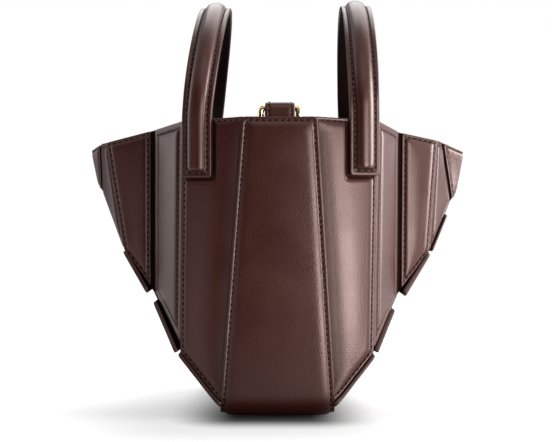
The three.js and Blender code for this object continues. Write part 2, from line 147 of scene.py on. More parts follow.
# chestnut calf leather: fine pores, soft mottling, painted shade in stitch channels and creases, polished turned
# edges
calf = dict(
    deep=(0.025, 0.0042, 0.0026, 1), warm=(0.042, 0.0082, 0.0052, 1), channel=(0.005, 0.0015, 0.0012, 1),
    edge=(0.044, 0.0135, 0.0100, 1), gloss=(1.0, 0.78, 0.735, 1), specular=0.65, roughness=0.22,
    mottle=(38.0, 4.0), cloud=(9.0, 2.0), fibre=(1600.0, 3.0), poreSize=0.85, poreDepth=0.11, relief=0.75,
)


def makeCalf():
    material, shop, surface, where = newMaterial("chestnutCalf")
    mottle = shop.noise(where, *calf["mottle"])
    cloud = shop.noise(where, *calf["cloud"])
    fibre = shop.noise(where, *calf["fibre"])
    inputs = {"Vector": where, "Scale": 1 / (calf["poreSize"] * mm)}
    pores = shop.node("ShaderNodeTexVoronoi", inputs, feature="F1")
    seam = shop.attribute("seam")
    edge = shop.attribute("edge")
    hide = shop.blend(mottle * 0.7 + cloud * 0.6 - 0.15, calf["deep"], calf["warm"])
    hide = shop.blend(pores * 0.25, hide, calf["warm"])
    hide = shop.blend(edge * 0.6, hide, calf["edge"])
    # painted shade: the leather is drawn darker, towards a near-black colour, in stitch channels, grooves, creases
    # and round the handle's foot
    hide = shop.blend(seam * 0.75, hide, calf["channel"])
    rough = mottle * 0.14 + fibre * 0.08 + seam * 0.2 + edge * 0.06 + calf["roughness"]
    bump = shop.bump(pores * 0.6 + fibre * 0.4 + mottle * 0.5, calf["relief"], calf["poreDepth"])
    shop.plug(
        surface, Base_Color=hide, Roughness=rough, Normal=bump, Specular_Tint=calf["gloss"],
        Specular_IOR_Level=calf["specular"],
    )
    return material


# dark microsuede inside the bag and under the handles
suede = dict(
    deep=(0.0030, 0.0010, 0.0008, 1), nap=(0.0090, 0.0032, 0.0026, 1), fibre=(2200.0, 3.0), stroke=(60.0, 3.0),
    relief=0.5, depth=0.12, specular=0.08,
)


def makeSuede():
    material, shop, surface, where = newMaterial("darkSuede")
    nap = shop.noise(where, *suede["fibre"])
    stroke = shop.noise(where, *suede["stroke"])
    colour = shop.blend(nap * 0.5 + stroke * 0.5, suede["deep"], suede["nap"])
    bump = shop.bump(nap, suede["relief"], suede["depth"])
    rough = 0.86 - stroke * 0.12
    shop.plug(surface, Base_Color=colour, Roughness=rough, Normal=bump, Specular_IOR_Level=suede["specular"])
    return material


# waxed thread, a shade redder than the leather
thread = dict(
    shade=(0.060, 0.0240, 0.0200, 1), lit=(0.170, 0.090, 0.078, 1), twist=1.26, wander=0.6,
    relief=0.4, depth=0.05, specular=0.25,
)


def makeThread():
    material, shop, surface, where = newMaterial("waxedThread")
    inputs = {"Vector": where, "Scale": 1 / (thread["twist"] * mm), "Distortion": thread["wander"]}
    ply = shop.node("ShaderNodeTexWave", inputs, "Fac", wave_type="BANDS", bands_direction="DIAGONAL")
    colour = shop.blend(ply, thread["shade"], thread["lit"])
    bump = shop.bump(ply, thread["relief"], thread["depth"])
    rough = 0.72 + ply * 0.12
    shop.plug(surface, Base_Color=colour, Roughness=rough, Normal=bump, Specular_IOR_Level=thread["specular"])
    return material


# pale gold plating on the strap rings
gold = dict(
    bright=(0.92, 0.74, 0.42, 1), worn=(0.82, 0.62, 0.31, 1), wear=(180.0, 4.0), scratch=(1500.0, 2.0),
    relief=0.08, depth=0.02,
)


def makeGold():
    material, shop, surface, where = newMaterial("paleGold")
    wear = shop.noise(where, *gold["wear"])
    scratch = shop.noise(where, *gold["scratch"])
    colour = shop.blend(wear, gold["bright"], gold["worn"])
    bump = shop.bump(scratch, gold["relief"], gold["depth"])
    rough = wear * 0.12 + scratch * 0.05 + 0.13
    shop.plug(surface, Base_Color=colour, Roughness=rough, Normal=bump, Metallic=1.0)
    return material


leather = makeCalf()
lining = makeSuede()
threadLook = makeThread()
goldLook = makeGold()
print("materials made")


# upholstered plates: every leather piece is a flat four-sided outline, skinned in rings from its back
# edge over its turned edge and stitch channel to its padded field, and laid in place by a function
def unit(vectors):
    return vectors / np.linalg.norm(vectors, axis=-1, keepdims=True)


def smooth(share):
    return share * share * (3 - 2 * share)


def meet(lineA, lineB):
    (a, u), (b, v) = lineA, lineB
    gap = b - a
    share = (gap[0] * v[1] - gap[1] * v[0]) / (u[0] * v[1] - u[1] * v[0])
    return a + u * share


# sides run rim, end, foot, start, and each corner opens the side of the same number
def sideOf(quad, k):
    along = unit(quad[(k + 1) % 4] - quad[k])
    inward = np.array([-along[1], along[0]])
    if inward @ (quad.mean(0) - quad[k]) < 0:
        inward = -inward
    return along, inward


def insetQuad(quad, insets):
    lines = []
    for k in range(4):
        along, inward = sideOf(quad, k)
        lines.append((quad[k] + inward * insets[k], along))
    return np.array([meet(lines[k - 1], lines[k]) for k in range(4)])


def countsOf(quad, steps):
    return [round(np.linalg.norm(quad[k + 1] - quad[k]) / steps[k]) for k in (0, 1)]


def ringOf(quad, counts, softening):
    sides = []
    for k in range(4):
        share = np.arange(counts[k % 2])[:, None] / counts[k % 2]
        sides.append(quad[k] + (quad[(k + 1) % 4] - quad[k]) * share)
    ring = np.concatenate(sides)
    for _ in range(softening):
        ring = (np.roll(ring, 1, 0) + 2 * ring + np.roll(ring, -1, 0)) / 4
    return ring


def bandFaces(below, above, size):
    return [(below + i, below + (i + 1) % size, above + (i + 1) % size, above + i) for i in range(size)]


# the field inside a ring: its inner points and its faces, numbered from the ring's and the field's first
def fieldOf(quad, counts, ringFirst, fieldFirst):
    na, nd = counts
    u, t = np.meshgrid(np.arange(1, nd) / nd, np.arange(1, na) / na, indexing="ij")
    u, t = u.ravel()[:, None], t.ravel()[:, None]
    points = (quad[0] * (1 - t) + quad[1] * t) * (1 - u) + (quad[3] * (1 - t) + quad[2] * t) * u

    grid = np.zeros((nd + 1, na + 1), int)
    grid[1:-1, 1:-1] = fieldFirst + np.arange((nd - 1) * (na - 1)).reshape(nd - 1, na - 1)
    sides = np.split(ringFirst + np.arange(2 * (na + nd)), [na, na + nd, 2 * na + nd])
    grid[0, :-1], grid[:-1, -1], grid[-1, :0:-1], grid[:0:-1, 0] = sides
    faces = np.stack([grid[:-1, :-1], grid[:-1, 1:], grid[1:, 1:], grid[1:, :-1]], -1).reshape(-1, 4).tolist()
    return points, faces, t[:, 0], u[:, 0]


def newPiece(name, points, faces, looks, body, slots=None, marks=None):
    mesh = bpy.data.meshes.new(name)
    mesh.from_pydata((np.asarray(points) * mm).tolist(), [], faces)
    for look in looks:
        mesh.materials.append(look)
    if slots is not None:
        mesh.polygons.foreach_set("material_index", slots)
    for key, values in (marks or {}).items():
        mesh.attributes.new(key, "FLOAT", "POINT").data.foreach_set("value", np.asarray(values, np.float32))
    shell = bmesh.new()
    shell.from_mesh(mesh)
    bmesh.ops.recalc_face_normals(shell, faces=shell.faces)
    shell.to_mesh(mesh)
    shell.free()
    mesh.polygons.foreach_set("use_smooth", [True] * len(mesh.polygons))
    piece = addObject(name, mesh)
    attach(piece, body)
    return piece


# profile rows are inset, height, painted shade share (stitch channels, grooves and back edges drawn darker as if
# in shadow), turned edge share, from the back edge inwards; rings from the soft row on are rounded more, and past
# a blunt inset the ends are drawn in less
plate = dict(softRow=12, softRounds=3, endShare=0.35)


def makePlate(
    name, quad, place, profile, counts, looks, crown=0.0, endPower=6, softening=1, reshape=None, blunt=None
):
    quad = np.asarray(quad, float)
    flat, height, seam, edge, faces, slots = [], [], [], [], [], []
    ringSize = 2 * sum(counts)

    def drawnIn(inset):
        end = inset if blunt is None or inset < blunt else blunt + (inset - blunt) * plate["endShare"]
        return insetQuad(quad, [end, inset, end, inset])

    def keep(points, rises, seamShare, edgeShare):
        flat.append(points)
        height.append(rises)
        seam.append(np.full(len(points), seamShare))
        edge.append(np.full(len(points), edgeShare))

    for k, (inset, rise, seamShare, edgeShare) in enumerate(profile):
        rounds = softening * (plate["softRounds"] if k >= plate["softRow"] else 1)
        keep(ringOf(drawnIn(inset), counts, rounds), np.full(ringSize, rise), seamShare, edgeShare)
        if k:
            faces += bandFaces((k - 1) * ringSize, k * ringSize, ringSize)
            slots += [0] * ringSize
    first = len(profile) * ringSize
    for ringNumber, look in ((len(profile) - 1, 0), (0, len(looks) - 1)):
        inset, rise, seamShare, edgeShare = profile[ringNumber]
        points, cells, t, u = fieldOf(drawnIn(inset), counts, ringNumber * ringSize, first)
        swell = (1 - np.abs(2 * t - 1) ** 2) * (1 - np.abs(2 * u - 1) ** endPower)
        isFront = ringNumber > 0
        keep(points, rise + swell * (crown if isFront else 0), seamShare, edgeShare)
        faces += cells if isFront else [cell[::-1] for cell in cells]
        slots += [look] * len(cells)
        first += len(points)
    flat, height, seam, edge = [np.concatenate(values) for values in (flat, height, seam, edge)]
    if reshape:
        height, seam, edge = reshape(flat, height, seam, edge)
    return newPiece(name, place(flat, height), faces, looks, "bag", slots, dict(seam=seam, edge=edge))


# a soft shoulder from a stitch channel up to the padding, as a quarter of an ellipse, with painted shade darkening
# its foot
def shoulder(inset, height, wide, tall, shade=0.0):
    rows = []
    for angle in np.radians(np.arange(12, 85, 12)):
        inward, up = wide * (1 - math.cos(angle)), tall * math.sin(angle)
        rows.append((inset + inward, height + up, shade * math.cos(angle) ** 2, 0.0))
    return rows


# stitch rows are collected as pieces are made and sewn at the end
stitchRows = {}


def markStitches(group, quad, place, inset, height, sides=(0, 1, 2, 3), trim=1.4, step=1.5):
    corners = insetQuad(np.asarray(quad, float), [inset] * 4)
    for side in sides:
        here, after = corners[side], corners[(side + 1) % 4]
        length = np.linalg.norm(after - here)
        if length < 4 * trim:
            continue
        share = np.linspace(trim, length - trim, max(2, int(length / step)))[:, None] / length
        flat = here + (after - here) * share
        low = place(flat, np.full(len(flat), height))
        facing = unit(place(flat, np.full(len(flat), height + 1.0)) - low)
        stitchRows.setdefault(group, []).append((low, facing))


# fold lines of the concertina wall, from the centre strip to the wing tip: X from the centre plane,
# Y from the middle plane, Z
foldLines = {
    "left": dict(
        sign=-1,
        rim=[(23.6, 100.0, 203.0), (64.6, 86.6, 200.6), (87.1, 50.0, 195.9),
             (121.4, 38.2, 187.7), (128.6, 11.0, 187.5), (136.3, 0.0, 183.4)],
        foot=[(38.4, 95.6, 10.4), (66.2, 86.6, 44.0), (87.1, 50.0, 84.2),
              (108.7, 42.5, 112.0), (128.4, 6.0, 154.6), (130.6, 0.0, 155.9)],
    ),
    "right": dict(
        sign=1,
        rim=[(26.4, 100.0, 203.0), (68.1, 86.6, 201.0), (85.7, 50.0, 194.5),
             (113.5, 38.8, 189.1), (119.4, 10.0, 189.2), (136.3, 0.0, 182.4)],
        foot=[(38.4, 95.6, 10.4), (65.5, 87.4, 43.6), (85.0, 50.0, 82.0),
              (107.6, 41.2, 110.2), (126.8, 6.0, 147.6), (129.8, 0.0, 149.4)],
    ),
}
halves = dict(front=1, back=-1)
flipped = np.array([1.0, -1.0, 1.0])


def foldsOf(side):
    return np.array(foldLines[side]["rim"]) * flipped, np.array(foldLines[side]["foot"]) * flipped


def mirrorOf(side, toFront=1.0):
    return np.array([foldLines[side]["sign"], toFront, 1.0])


# a patch lies between two folds of the front right quarter; the other quarters are its mirror images
def patchOf(side, number):
    rim, foot = foldsOf(side)
    corners = np.array([rim[number], rim[number + 1], foot[number + 1], foot[number]])
    across = unit(corners[1] - corners[0] + corners[2] - corners[3])
    down = corners[3] - corners[0] + corners[2] - corners[1]
    outward = unit(np.cross(down, across))
    fall = np.cross(across, outward)
    return dict(corners=corners, outward=outward, across=across, fall=fall,
                quad=np.stack([corners @ across, corners @ fall], 1))


# outward directions of the strip and the five patches beside it
def outwardsOf(side):
    return [np.array([0.0, -1.0, 0.0])] + [patchOf(side, i)["outward"] for i in range(5)]


def bilinear(corners, a, b):
    a, b = a[:, None], b[:, None]
    return (corners[0] * (1 - a) + corners[1] * a) * (1 - b) + (corners[3] * (1 - a) + corners[2] * a) * b


def crossed(a, b):
    return a[:, 0] * b[:, 1] - a[:, 1] * b[:, 0]


# shares across and down the patch for flat points, by a few Newton steps
def sharesOf(quad, target):
    a = b = np.full(len(target), 0.5)
    for _ in range(14):
        miss = bilinear(quad, a, b) - target
        byA = (quad[1] - quad[0]) * (1 - b)[:, None] + (quad[2] - quad[3]) * b[:, None]
        byB = (quad[3] - quad[0]) * (1 - a)[:, None] + (quad[2] - quad[1]) * a[:, None]
        area = crossed(byA, byB)
        a = a - crossed(miss, byB) / area
        b = b - crossed(byA, miss) / area
    return a, b


def onPatch(patch, mirror):
    def place(flat, height):
        a, b = sharesOf(patch["quad"], flat)
        return (bilinear(patch["corners"], a, b) + patch["outward"] * height[:, None]) * mirror
    return place


# the first panel and board turn up a little where they meet the strip
footTurn = dict(lift=1.3, span=7.0, fade=20.0)


def turnedUp(place, side):
    foot = np.abs(foldsOf(side)[1][:2])
    slope = (foot[1] - foot[0])[2] / (foot[1] - foot[0])[0]

    def lifted(flat, height):
        points = place(flat, height)
        out = np.abs(points[:, 0]) - foot[0][0]
        above = points[:, 2] - foot[0][2] - out * slope
        near = np.clip(1 - out / footTurn["span"], 0, 1) ** 2 * np.clip(1 - above / footTurn["fade"], 0, 1)
        points[:, 2] += footTurn["lift"] * near
        return points

    return lifted


# rolled handles: strap with turned edges, a stitch channel each side and a round core
handle = dict(
    width=21.2, springZ=211.0, tabLift=1.3, back=-0.9, leanStartZ=202.0, leanPower=1.3, legRows=29, archRows=161,
    pressRow=25, core=4.3, columns=12, step=2.2,
    stitchInset=3.3, stitchHeight=2.06, stitchTrim=0.4,
)
handleRows = dict(
    left=dict(tabFootZ=162.0, edgeInset=1.6, topX=44.2, topZ=284.6),
    right=dict(tabFootZ=163.5, edgeInset=0.7, topX=56.2, topZ=286.2),
)
strapProfile = [
    (0.35, handle["back"], 0.3, 0.2), (0.0, handle["back"] + 0.4, 0.2, 0.5), (0.0, 1.5, 0.0, 0.9),
    (0.14, 2.02, 0.0, 1.0), (0.45, 2.32, 0.0, 0.8), (0.9, 2.42, 0.0, 0.2), (2.2, 2.38, 0.0, 0.0),
    (2.65, 2.2, 0.3, 0.0), (3.0, 1.92, 0.7, 0.0), (3.35, 1.84, 0.8, 0.0), (3.75, 1.98, 0.7, 0.0),
    (4.2, 2.3, 0.5, 0.0),
] + shoulder(handle["core"], 2.4, handle["width"] / 2 - handle["core"], 4.0, 0.35)


def handleStations(side):
    rim, row, patch = foldsOf(side)[0], handleRows[side], patchOf(side, 0)
    legX = rim[1][0] - row["edgeInset"] - handle["width"] / 2 * patch["across"][0]
    leg = rim[0] + (rim[1] - rim[0]) * (legX - rim[0][0]) / (rim[1][0] - rim[0][0])
    leg = leg + patch["outward"] * handle["tabLift"]
    legRows, springZ = handle["legRows"], handle["springZ"]
    legZ = np.linspace(row["tabFootZ"], springZ, legRows + 1)[:-1]
    angle = np.linspace(0, math.pi, handle["archRows"])
    y = np.concatenate([np.full(legRows, leg[1]), leg[1] * np.cos(angle), np.full(legRows, -leg[1])])
    z = np.concatenate([legZ, springZ + (row["topZ"] - springZ) * np.sin(angle), legZ[::-1]])
    climb = np.clip((z - handle["leanStartZ"]) / (row["topZ"] - handle["leanStartZ"]), 0, 1)
    x = leg[0] + (row["topX"] - leg[0]) * climb ** handle["leanPower"]
    middles = np.stack([x, y, z], 1)
    along = unit(np.gradient(middles, axis=0))
    untwist = smooth(climb)[:, None]
    tab = np.tile(-patch["across"], (len(z), 1))
    tab[:, 1] *= np.where(y > 0, -1, 1)
    across = tab * (1 - untwist) + np.array([-1.0, 0.0, 0.0]) * untwist
    across = unit(across - along * (across * along).sum(1)[:, None])
    return middles, across, np.cross(along, across)


# wall panels: a stiff board in leather, turned edge, stitch channel, padded field
panel = dict(
    seamGap=0.15, underlap=-1.6, groove=2.2, crown=(0.5, 0.35, 0.3, 0.3), stitchInset=2.05, stitchHeight=0.0,
    steps=(1.5, 1.5), tuck=24.0, press=3.6, pressDepth=0.9, crease=13.0, creaseDepth=1.1, creaseFade=10.0,
    frontFrom=-0.2, channelFrom=0.9, field=2.5,
    footLift=dict(left=(1.0, 6.5), right=(0.0, 2.5)),  # the second panels stop short of their fold
    border=(1.0, 2.1, 1.0, 1.5),  # the returns have wider borders
)
panelProfile = [
    (0.3, -1.2, 0.6, 0.2), (0.0, -0.9, 0.5, 0.3), (0.0, -0.45, 0.2, 0.6), (0.12, -0.14, 0.0, 1.0),
    (0.4, 0.02, 0.0, 0.7), (0.9, 0.04, 0.0, 0.1), (1.4, 0.0, 0.1, 0.0), (1.75, -0.14, 0.4, 0.0),
    (2.05, -0.24, 0.7, 0.0), (2.3, -0.18, 0.7, 0.0), (2.5, 0.0, 0.5, 0.0),
] + shoulder(2.5, 0.0, 5.0, 1.5, 0.3)


def bordered(wider):
    rows = []
    for inset, *rest in panelProfile:
        more = (wider - 1) * min(inset, panel["field"]) if inset > panel["channelFrom"] else 0.0
        rows.append((inset + more, *rest))
    return rows


# the first panel runs on under the centre strip, so it has no channel there, and its padding thins out
# towards the seam and is pressed down round the handle's foot; the crease and the pressed ring carry painted
# shadow
def firstPanelShape(quad, footEnds, halfFoot):
    top, bottom = footEnds
    down = unit(bottom - top)
    aside = np.array([-down[1], down[0]])

    def reshape(flat, height, seam, edge):
        off = [(flat - quad[k]) @ sideOf(quad, k)[1] for k in range(4)]
        fromOthers = np.minimum(np.minimum(off[0], off[1]), off[2])
        insets, rises, seams, edges = np.array(panelProfile[3:]).T
        swell = np.clip(height - np.interp(np.minimum(fromOthers, off[3]), insets, rises), 0, None)
        padded = np.interp(fromOthers, insets, rises) + swell
        thin = np.clip(off[3] / panel["tuck"], 0, 1)
        beside = np.clip(np.abs((flat - bottom) @ aside) - halfFoot, 0, None)
        below = np.clip((flat - bottom) @ down, 0, None)
        clear = smooth(np.clip(np.hypot(beside, below) / panel["press"], 0, 1))
        padded = np.where(padded > 0, padded * thin * (2 - thin) * clear, padded)
        padded = padded - panel["pressDepth"] * (1 - clear) * (fromOthers > panel["field"])
        fromEnds = np.clip(np.minimum(off[0], off[2]) / panel["creaseFade"], 0, 1)
        crease = (1 - np.clip(off[3] / panel["crease"], 0, 1)) * fromEnds
        padded = padded - panel["creaseDepth"] * crease ** 2
        # painted shadow: the leather is drawn darker in the crease beside the strip and round the handle's foot
        channel = np.interp(fromOthers, insets, seams) + (1 - clear) ** 2 + crease ** 1.5
        isFront = height > panel["frontFrom"]
        height = np.where(isFront, padded, height)
        seam = np.where(isFront, channel, seam)
        edge = np.where(isFront, np.interp(fromOthers, insets, edges), edge)
        return height, np.clip(seam, 0, 1), edge

    return reshape


def makePanels():
    for side in foldLines:
        outs = outwardsOf(side)
        gaps = [panel["seamGap" if before[0] < after[0] else "groove"] for before, after in zip(outs, outs[1:])]
        for number in range(4):
            patch = patchOf(side, number)
            start, end = gaps[number:number + 2]
            quad = insetQuad(patch["quad"], [0, end, 0, start if number else panel["underlap"]])
            reshape, sewn = None, (0, 1, 2, 3)
            if number == 0:
                sewn = (0, 1, 2)
                legs = handleStations(side)[0][[handle["pressRow"], 0]]
                footEnds = np.stack([legs @ patch["across"], legs @ patch["fall"]], 1)
                reshape = firstPanelShape(quad, footEnds, handle["width"] / 2)
            if number == 1:
                for foot, top, lift in zip((2, 3), (1, 0), panel["footLift"][side]):
                    quad[foot] += unit(quad[top] - quad[foot]) * lift
            counts, wider = countsOf(quad, panel["steps"]), panel["border"][number]
            for half, toFront in halves.items():
                name = f"panel_{side}_{half}_{number + 1}"
                place = onPatch(patch, mirrorOf(side, toFront))
                if number == 0:
                    place = turnedUp(place, side)
                piece = makePlate(
                    f"{name}_leather", quad, place, bordered(wider), counts, [leather], panel["crown"][number],
                    reshape=reshape,
                )
                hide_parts(name)
                inset = panel["stitchInset"] * wider
                markStitches(f"panels_{side}", quad, place, inset, panel["stitchHeight"], sewn)


makePanels()
print("panels made")


# wing tips: one piece folded round the end of the wing
wing = dict(groove=1.6, foldRadius=2.2, crown=0.3, counts=(24, 22), stitchInset=1.5, stitchHeight=-0.12)
wingProfile = [
    (0.3, -1.2, 0.5, 0.3), (0.0, -0.9, 0.4, 0.6), (0.0, -0.5, 0.2, 0.9), (0.15, -0.18, 0.0, 1.0),
    (0.45, 0.0, 0.0, 0.7), (0.9, 0.0, 0.1, 0.1), (1.2, -0.18, 0.7, 0.0), (1.5, -0.3, 1.0, 0.0),
    (1.8, -0.18, 0.6, 0.0), (2.1, 0.1, 0.1, 0.0), (2.5, 0.28, 0.0, 0.0),
]


def onWingTip(side):
    rim, foot = foldsOf(side)
    rimHalf = np.linalg.norm(rim[5] - rim[4])
    footHalf = np.linalg.norm(foot[5] - foot[4])
    drop = np.linalg.norm(foot[5] - rim[5])
    outward = patchOf(side, 4)["outward"]

    def bowed(x):
        return np.sqrt(x ** 2 + wing["foldRadius"] ** 2)

    def place(flat, height):
        x, b = flat[:, 0], flat[:, 1] / drop
        half = rimHalf + (footHalf - rimHalf) * b
        share = (bowed(x) - wing["foldRadius"]) / (bowed(half) - wing["foldRadius"])
        hinge = rim[4] + (foot[4] - rim[4]) * b[:, None]
        tip = rim[5] + (foot[5] - rim[5]) * b[:, None]
        points = tip + (hinge - tip) * share[:, None]
        points[:, 1] *= -np.sign(x)
        normal = np.tile(outward, (len(b), 1))
        normal[:, 1] *= -x / bowed(x)
        return (points + unit(normal) * height[:, None]) * mirrorOf(side)

    quad = np.array([(-rimHalf, 0), (rimHalf, 0), (footHalf, drop), (-footHalf, drop)])
    return place, insetQuad(quad, [0, wing["groove"], 0, wing["groove"]])


def makeWingTips():
    for side in foldLines:
        place, quad = onWingTip(side)
        name, looks = f"wing_tip_{side}_leather", [leather, lining]
        piece = makePlate(name, quad, place, wingProfile, wing["counts"], looks, wing["crown"])
        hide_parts(f"wing_tip_{side}")
        markStitches(f"panels_{side}", quad, place, wing["stitchInset"], wing["stitchHeight"], (0, 1, 3))


makeWingTips()
print("wing tips made")


def distances(path):
    return np.concatenate([[0.0], np.cumsum(np.linalg.norm(np.diff(path, axis=0), axis=1))])


def easedPath(path, rounds):
    for _ in range(rounds):
        path[1:-1] = (path[:-2] + 2 * path[1:-1] + path[2:]) / 4
    return path


# outline of a straight band, by its half width and its two ends
def bandQuad(half, start, end):
    return np.array([(-half, start), (half, start), (half, end), (-half, end)])


# stations along a path: middle, across and outward directions by distance, with an optional half width
def alongPath(middles, across, outward, mirror=(1.0, 1.0, 1.0), halfWidths=None):
    far = distances(middles)
    across = np.broadcast_to(across, middles.shape)

    def read(table, s):
        return np.stack([np.interp(s, far, table[:, k]) for k in range(3)], 1)

    def place(flat, height):
        x, s = flat[:, 0], flat[:, 1]
        if halfWidths is not None:
            x = x * np.interp(s, far, halfWidths)
        side, out = unit(read(across, s)), unit(read(outward, s))
        return (read(middles, s) + side * x[:, None] + out * height[:, None]) * np.array(mirror)

    return place, far


# keel boards under the panels; drop is below the panels' feet, cut is the notch at each end
keel = dict(flange=1.6, steps=(4.0, 2.5), stitchInset=1.7, stitchSink=0.22)
keelBoards = {
    "left": [
        dict(thickness=2.5, lowerDrop=0.2, upperDrop=0.2, lowerCut=-3.0, upperCut=0.8),
        dict(thickness=3.0, lowerDrop=0.7, upperDrop=0.9, lowerCut=0.6, upperCut=8.0),
        dict(thickness=2.8, lowerDrop=2.8, upperDrop=-1.4, lowerCut=0.8, upperCut=1.0),
        dict(thickness=1.2, lowerDrop=-1.5, upperDrop=-1.5, lowerCut=1.0, upperCut=1.6, flange=-3.0),
    ],
    "right": [
        dict(thickness=2.5, lowerDrop=0.2, upperDrop=0.2, lowerCut=-3.0, upperCut=1.6),
        dict(thickness=3.3, lowerDrop=-0.6, upperDrop=-0.8, lowerCut=0.6, upperCut=12.0),
        dict(thickness=2.5, lowerDrop=1.6, upperDrop=-1.0, lowerCut=0.8, upperCut=1.0, taper=0.6),
        dict(thickness=1.6, lowerDrop=0.3, upperDrop=0.3, lowerCut=1.0, upperCut=12.0),
    ],
}


# painted shade: the boards' side rows are drawn darker, as if in the panels' shadow
def keelProfile(thick):
    return [
        (0.45, 0.0, 0.5, 0.0), (0.12, 0.12, 0.6, 0.1), (0.0, 0.4, 0.6, 0.2), (0.0, thick - 0.4, 0.6, 0.2),
        (0.12, thick - 0.12, 0.4, 0.4), (0.45, thick, 0.2, 0.3), (1.1, thick, 0.1, 0.0),
        (1.45, thick - 0.14, 0.8, 0.0), (1.7, thick - 0.24, 1.0, 0.0), (1.95, thick - 0.14, 0.8, 0.0),
        (2.4, thick + 0.04, 0.0, 0.0),
    ]


def onKeel(side, number):
    foot = foldsOf(side)[1]
    board = keelBoards[side][number]
    lower, upper = foot[number] * (1, 0, 1), foot[number + 1] * (1, 0, 1)
    length = np.linalg.norm(upper - lower)
    slope = (upper - lower) / length
    outward = np.array([slope[2], 0.0, -slope[0]])
    lowWidth, highWidth = -foot[number][1], -foot[number + 1][1]
    flange = board.get("flange", keel["flange"]) * math.hypot(1, (lowWidth - highWidth) / length)

    def place(flat, height):
        y, p = flat[:, :1], flat[:, 1:]
        drop = board["lowerDrop"] + (board["upperDrop"] - board["lowerDrop"]) * p / length
        deep = height[:, None] * (1 + board.get("taper", 0.0) * (1 - p / length))
        points = lower + slope * p + outward * (drop + deep) + np.array([0.0, 1.0, 0.0]) * y
        return points * mirrorOf(side)

    def half(p):
        return lowWidth + (highWidth - lowWidth) * p / length + flange

    low, high = board["lowerCut"], length - board["upperCut"]
    quad = np.array([(-half(high), high), (half(high), high), (half(low), low), (-half(low), low)])
    return (place if number else turnedUp(place, side)), quad


def makeKeels():
    for side in foldLines:
        for number in range(4):
            place, quad = onKeel(side, number)
            name = f"keel_{side}_{number + 1}"
            thick = keelBoards[side][number]["thickness"]
            profile, counts = keelProfile(thick), countsOf(quad, keel["steps"])
            piece = makePlate(f"{name}_leather", quad, place, profile, counts, [leather, lining])
            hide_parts(name)
            markStitches("keels", quad, place, keel["stitchInset"], thick - keel["stitchSink"])


makeKeels()
print("keel boards made")


# lining: a folded sheet inside each concertina wall, and one over each run of keel boards
inside = dict(
    outer=-1.25, inner=-2.6, columns=6, rows=14, footDrop=1.2, tuck=1.1, tuckShares=(0.0, 0.2, 0.8, 1.0, 1.1, 1.1),
    floorLift=0.35, floorThickness=0.5, floorStart=-0.6, floorRun=1.5, floorClear=0.2, floorCounts=(40, 60),
)


# how far the boards hang below the panels, from fold to fold
def dropsOf(side):
    boards = keelBoards[side]
    return np.array([boards[0]["lowerDrop"]] + [board["upperDrop"] for board in boards])


def liningProfile(thick):
    return [(0.0, 0.0, 0.0, 0.0), (0.0, thick, 0.0, 0.0)]


def makeWallLining(side):
    rim, foot = foldsOf(side)
    outs = outwardsOf(side)
    outs.append(outs[-1] * flipped)
    mitres = np.array([(a + b) / (1 + a @ b) for a, b in zip(outs, outs[1:])])
    foot[:, 2] -= inside["footDrop"] * np.clip(np.append(dropsOf(side), 0.0), 0, None)
    layers = []
    for depth in (inside["outer"], inside["inner"]):
        tucked = foot.copy()
        tucked[:, 2] += inside["tuck"] * np.array(inside["tuckShares"]) * depth
        edges = []
        for line in (rim, tucked):
            moved = line + mitres * depth
            edges.append(np.concatenate([moved, moved[-2::-1] * flipped]))
        layers.append(edges)
    spans = len(layers[0][0]) - 1

    def place(flat, height):
        column = flat[:, 0]
        low = np.clip(np.floor(column).astype(int), 0, spans - 1)
        part = (column - low)[:, None]

        def sheet(edges):
            top, bottom = [line[low] * (1 - part) + line[low + 1] * part for line in edges]
            return top + (bottom - top) * flat[:, 1:]

        points = sheet(layers[0]) + (sheet(layers[1]) - sheet(layers[0])) * height[:, None]
        return points * mirrorOf(side)

    quad = [(0, 0), (spans, 0), (spans, 1), (0, 1)]
    counts = (spans * inside["columns"], inside["rows"])
    piece = makePlate(f"wall_lining_{side}", quad, place, liningProfile(1.0), counts, [lining], softening=0)


def makeFloorLining(side):
    foot = foldsOf(side)[1][:5]
    tangents = unit(np.gradient(foot * (1, 0, 1), axis=0))
    normals = np.stack([-tangents[:, 2], 0 * tangents[:, 0], tangents[:, 0]], 1)
    middles = foot * (1, 0, 1) - normals * (dropsOf(side) - inside["floorLift"])[:, None]
    middles[0][0] += inside["floorStart"]
    middles[-1] += tangents[-1] * inside["floorRun"]
    halfWidths = -foot[:, 1] + inside["inner"] - inside["floorClear"]
    place, far = alongPath(middles, (0.0, 1.0, 0.0), normals, mirrorOf(side), halfWidths)
    quad, profile = bandQuad(1, 0, far[-1]), liningProfile(inside["floorThickness"])
    piece = makePlate(f"floor_lining_{side}", quad, place, profile, inside["floorCounts"], [lining], softening=0)


for side in foldLines:
    makeWallLining(side)
    makeFloorLining(side)
print("lining made")


# centre strip: front, base and back in one padded length
strip = dict(
    rimHalf=25.0, footHalf=38.4, lean=1.4, rimY=-100.0, rimZ=203.0, footY=-95.6, footZ=10.4, sideGap=-0.2,
    bend=10.0, bendRows=16, faceRows=39, step=1.5, ease=12, baseDepth=6.0, backFrom=-1.0, spread=0.6,
    crown=0.5, endPower=40, counts=(22, 230), stitchInset=2.5, stitchHeight=0.64,
)
stripProfile = [
    (0.3, -2.6, 0.3, 0.0), (0.0, -2.2, 0.2, 0.3), (0.0, 0.3, 0.3, 0.6), (0.06, 0.58, 0.2, 1.0),
    (0.2, 0.7, 0.0, 0.8), (0.5, 0.75, 0.0, 0.4), (1.6, 0.74, 0.0, 0.0), (2.05, 0.6, 0.3, 0.0),
    (2.35, 0.44, 0.7, 0.0), (2.65, 0.42, 0.7, 0.0), (2.9, 0.62, 0.5, 0.0),
] + shoulder(2.9, 0.6, 7.2, 2.0, 0.3)


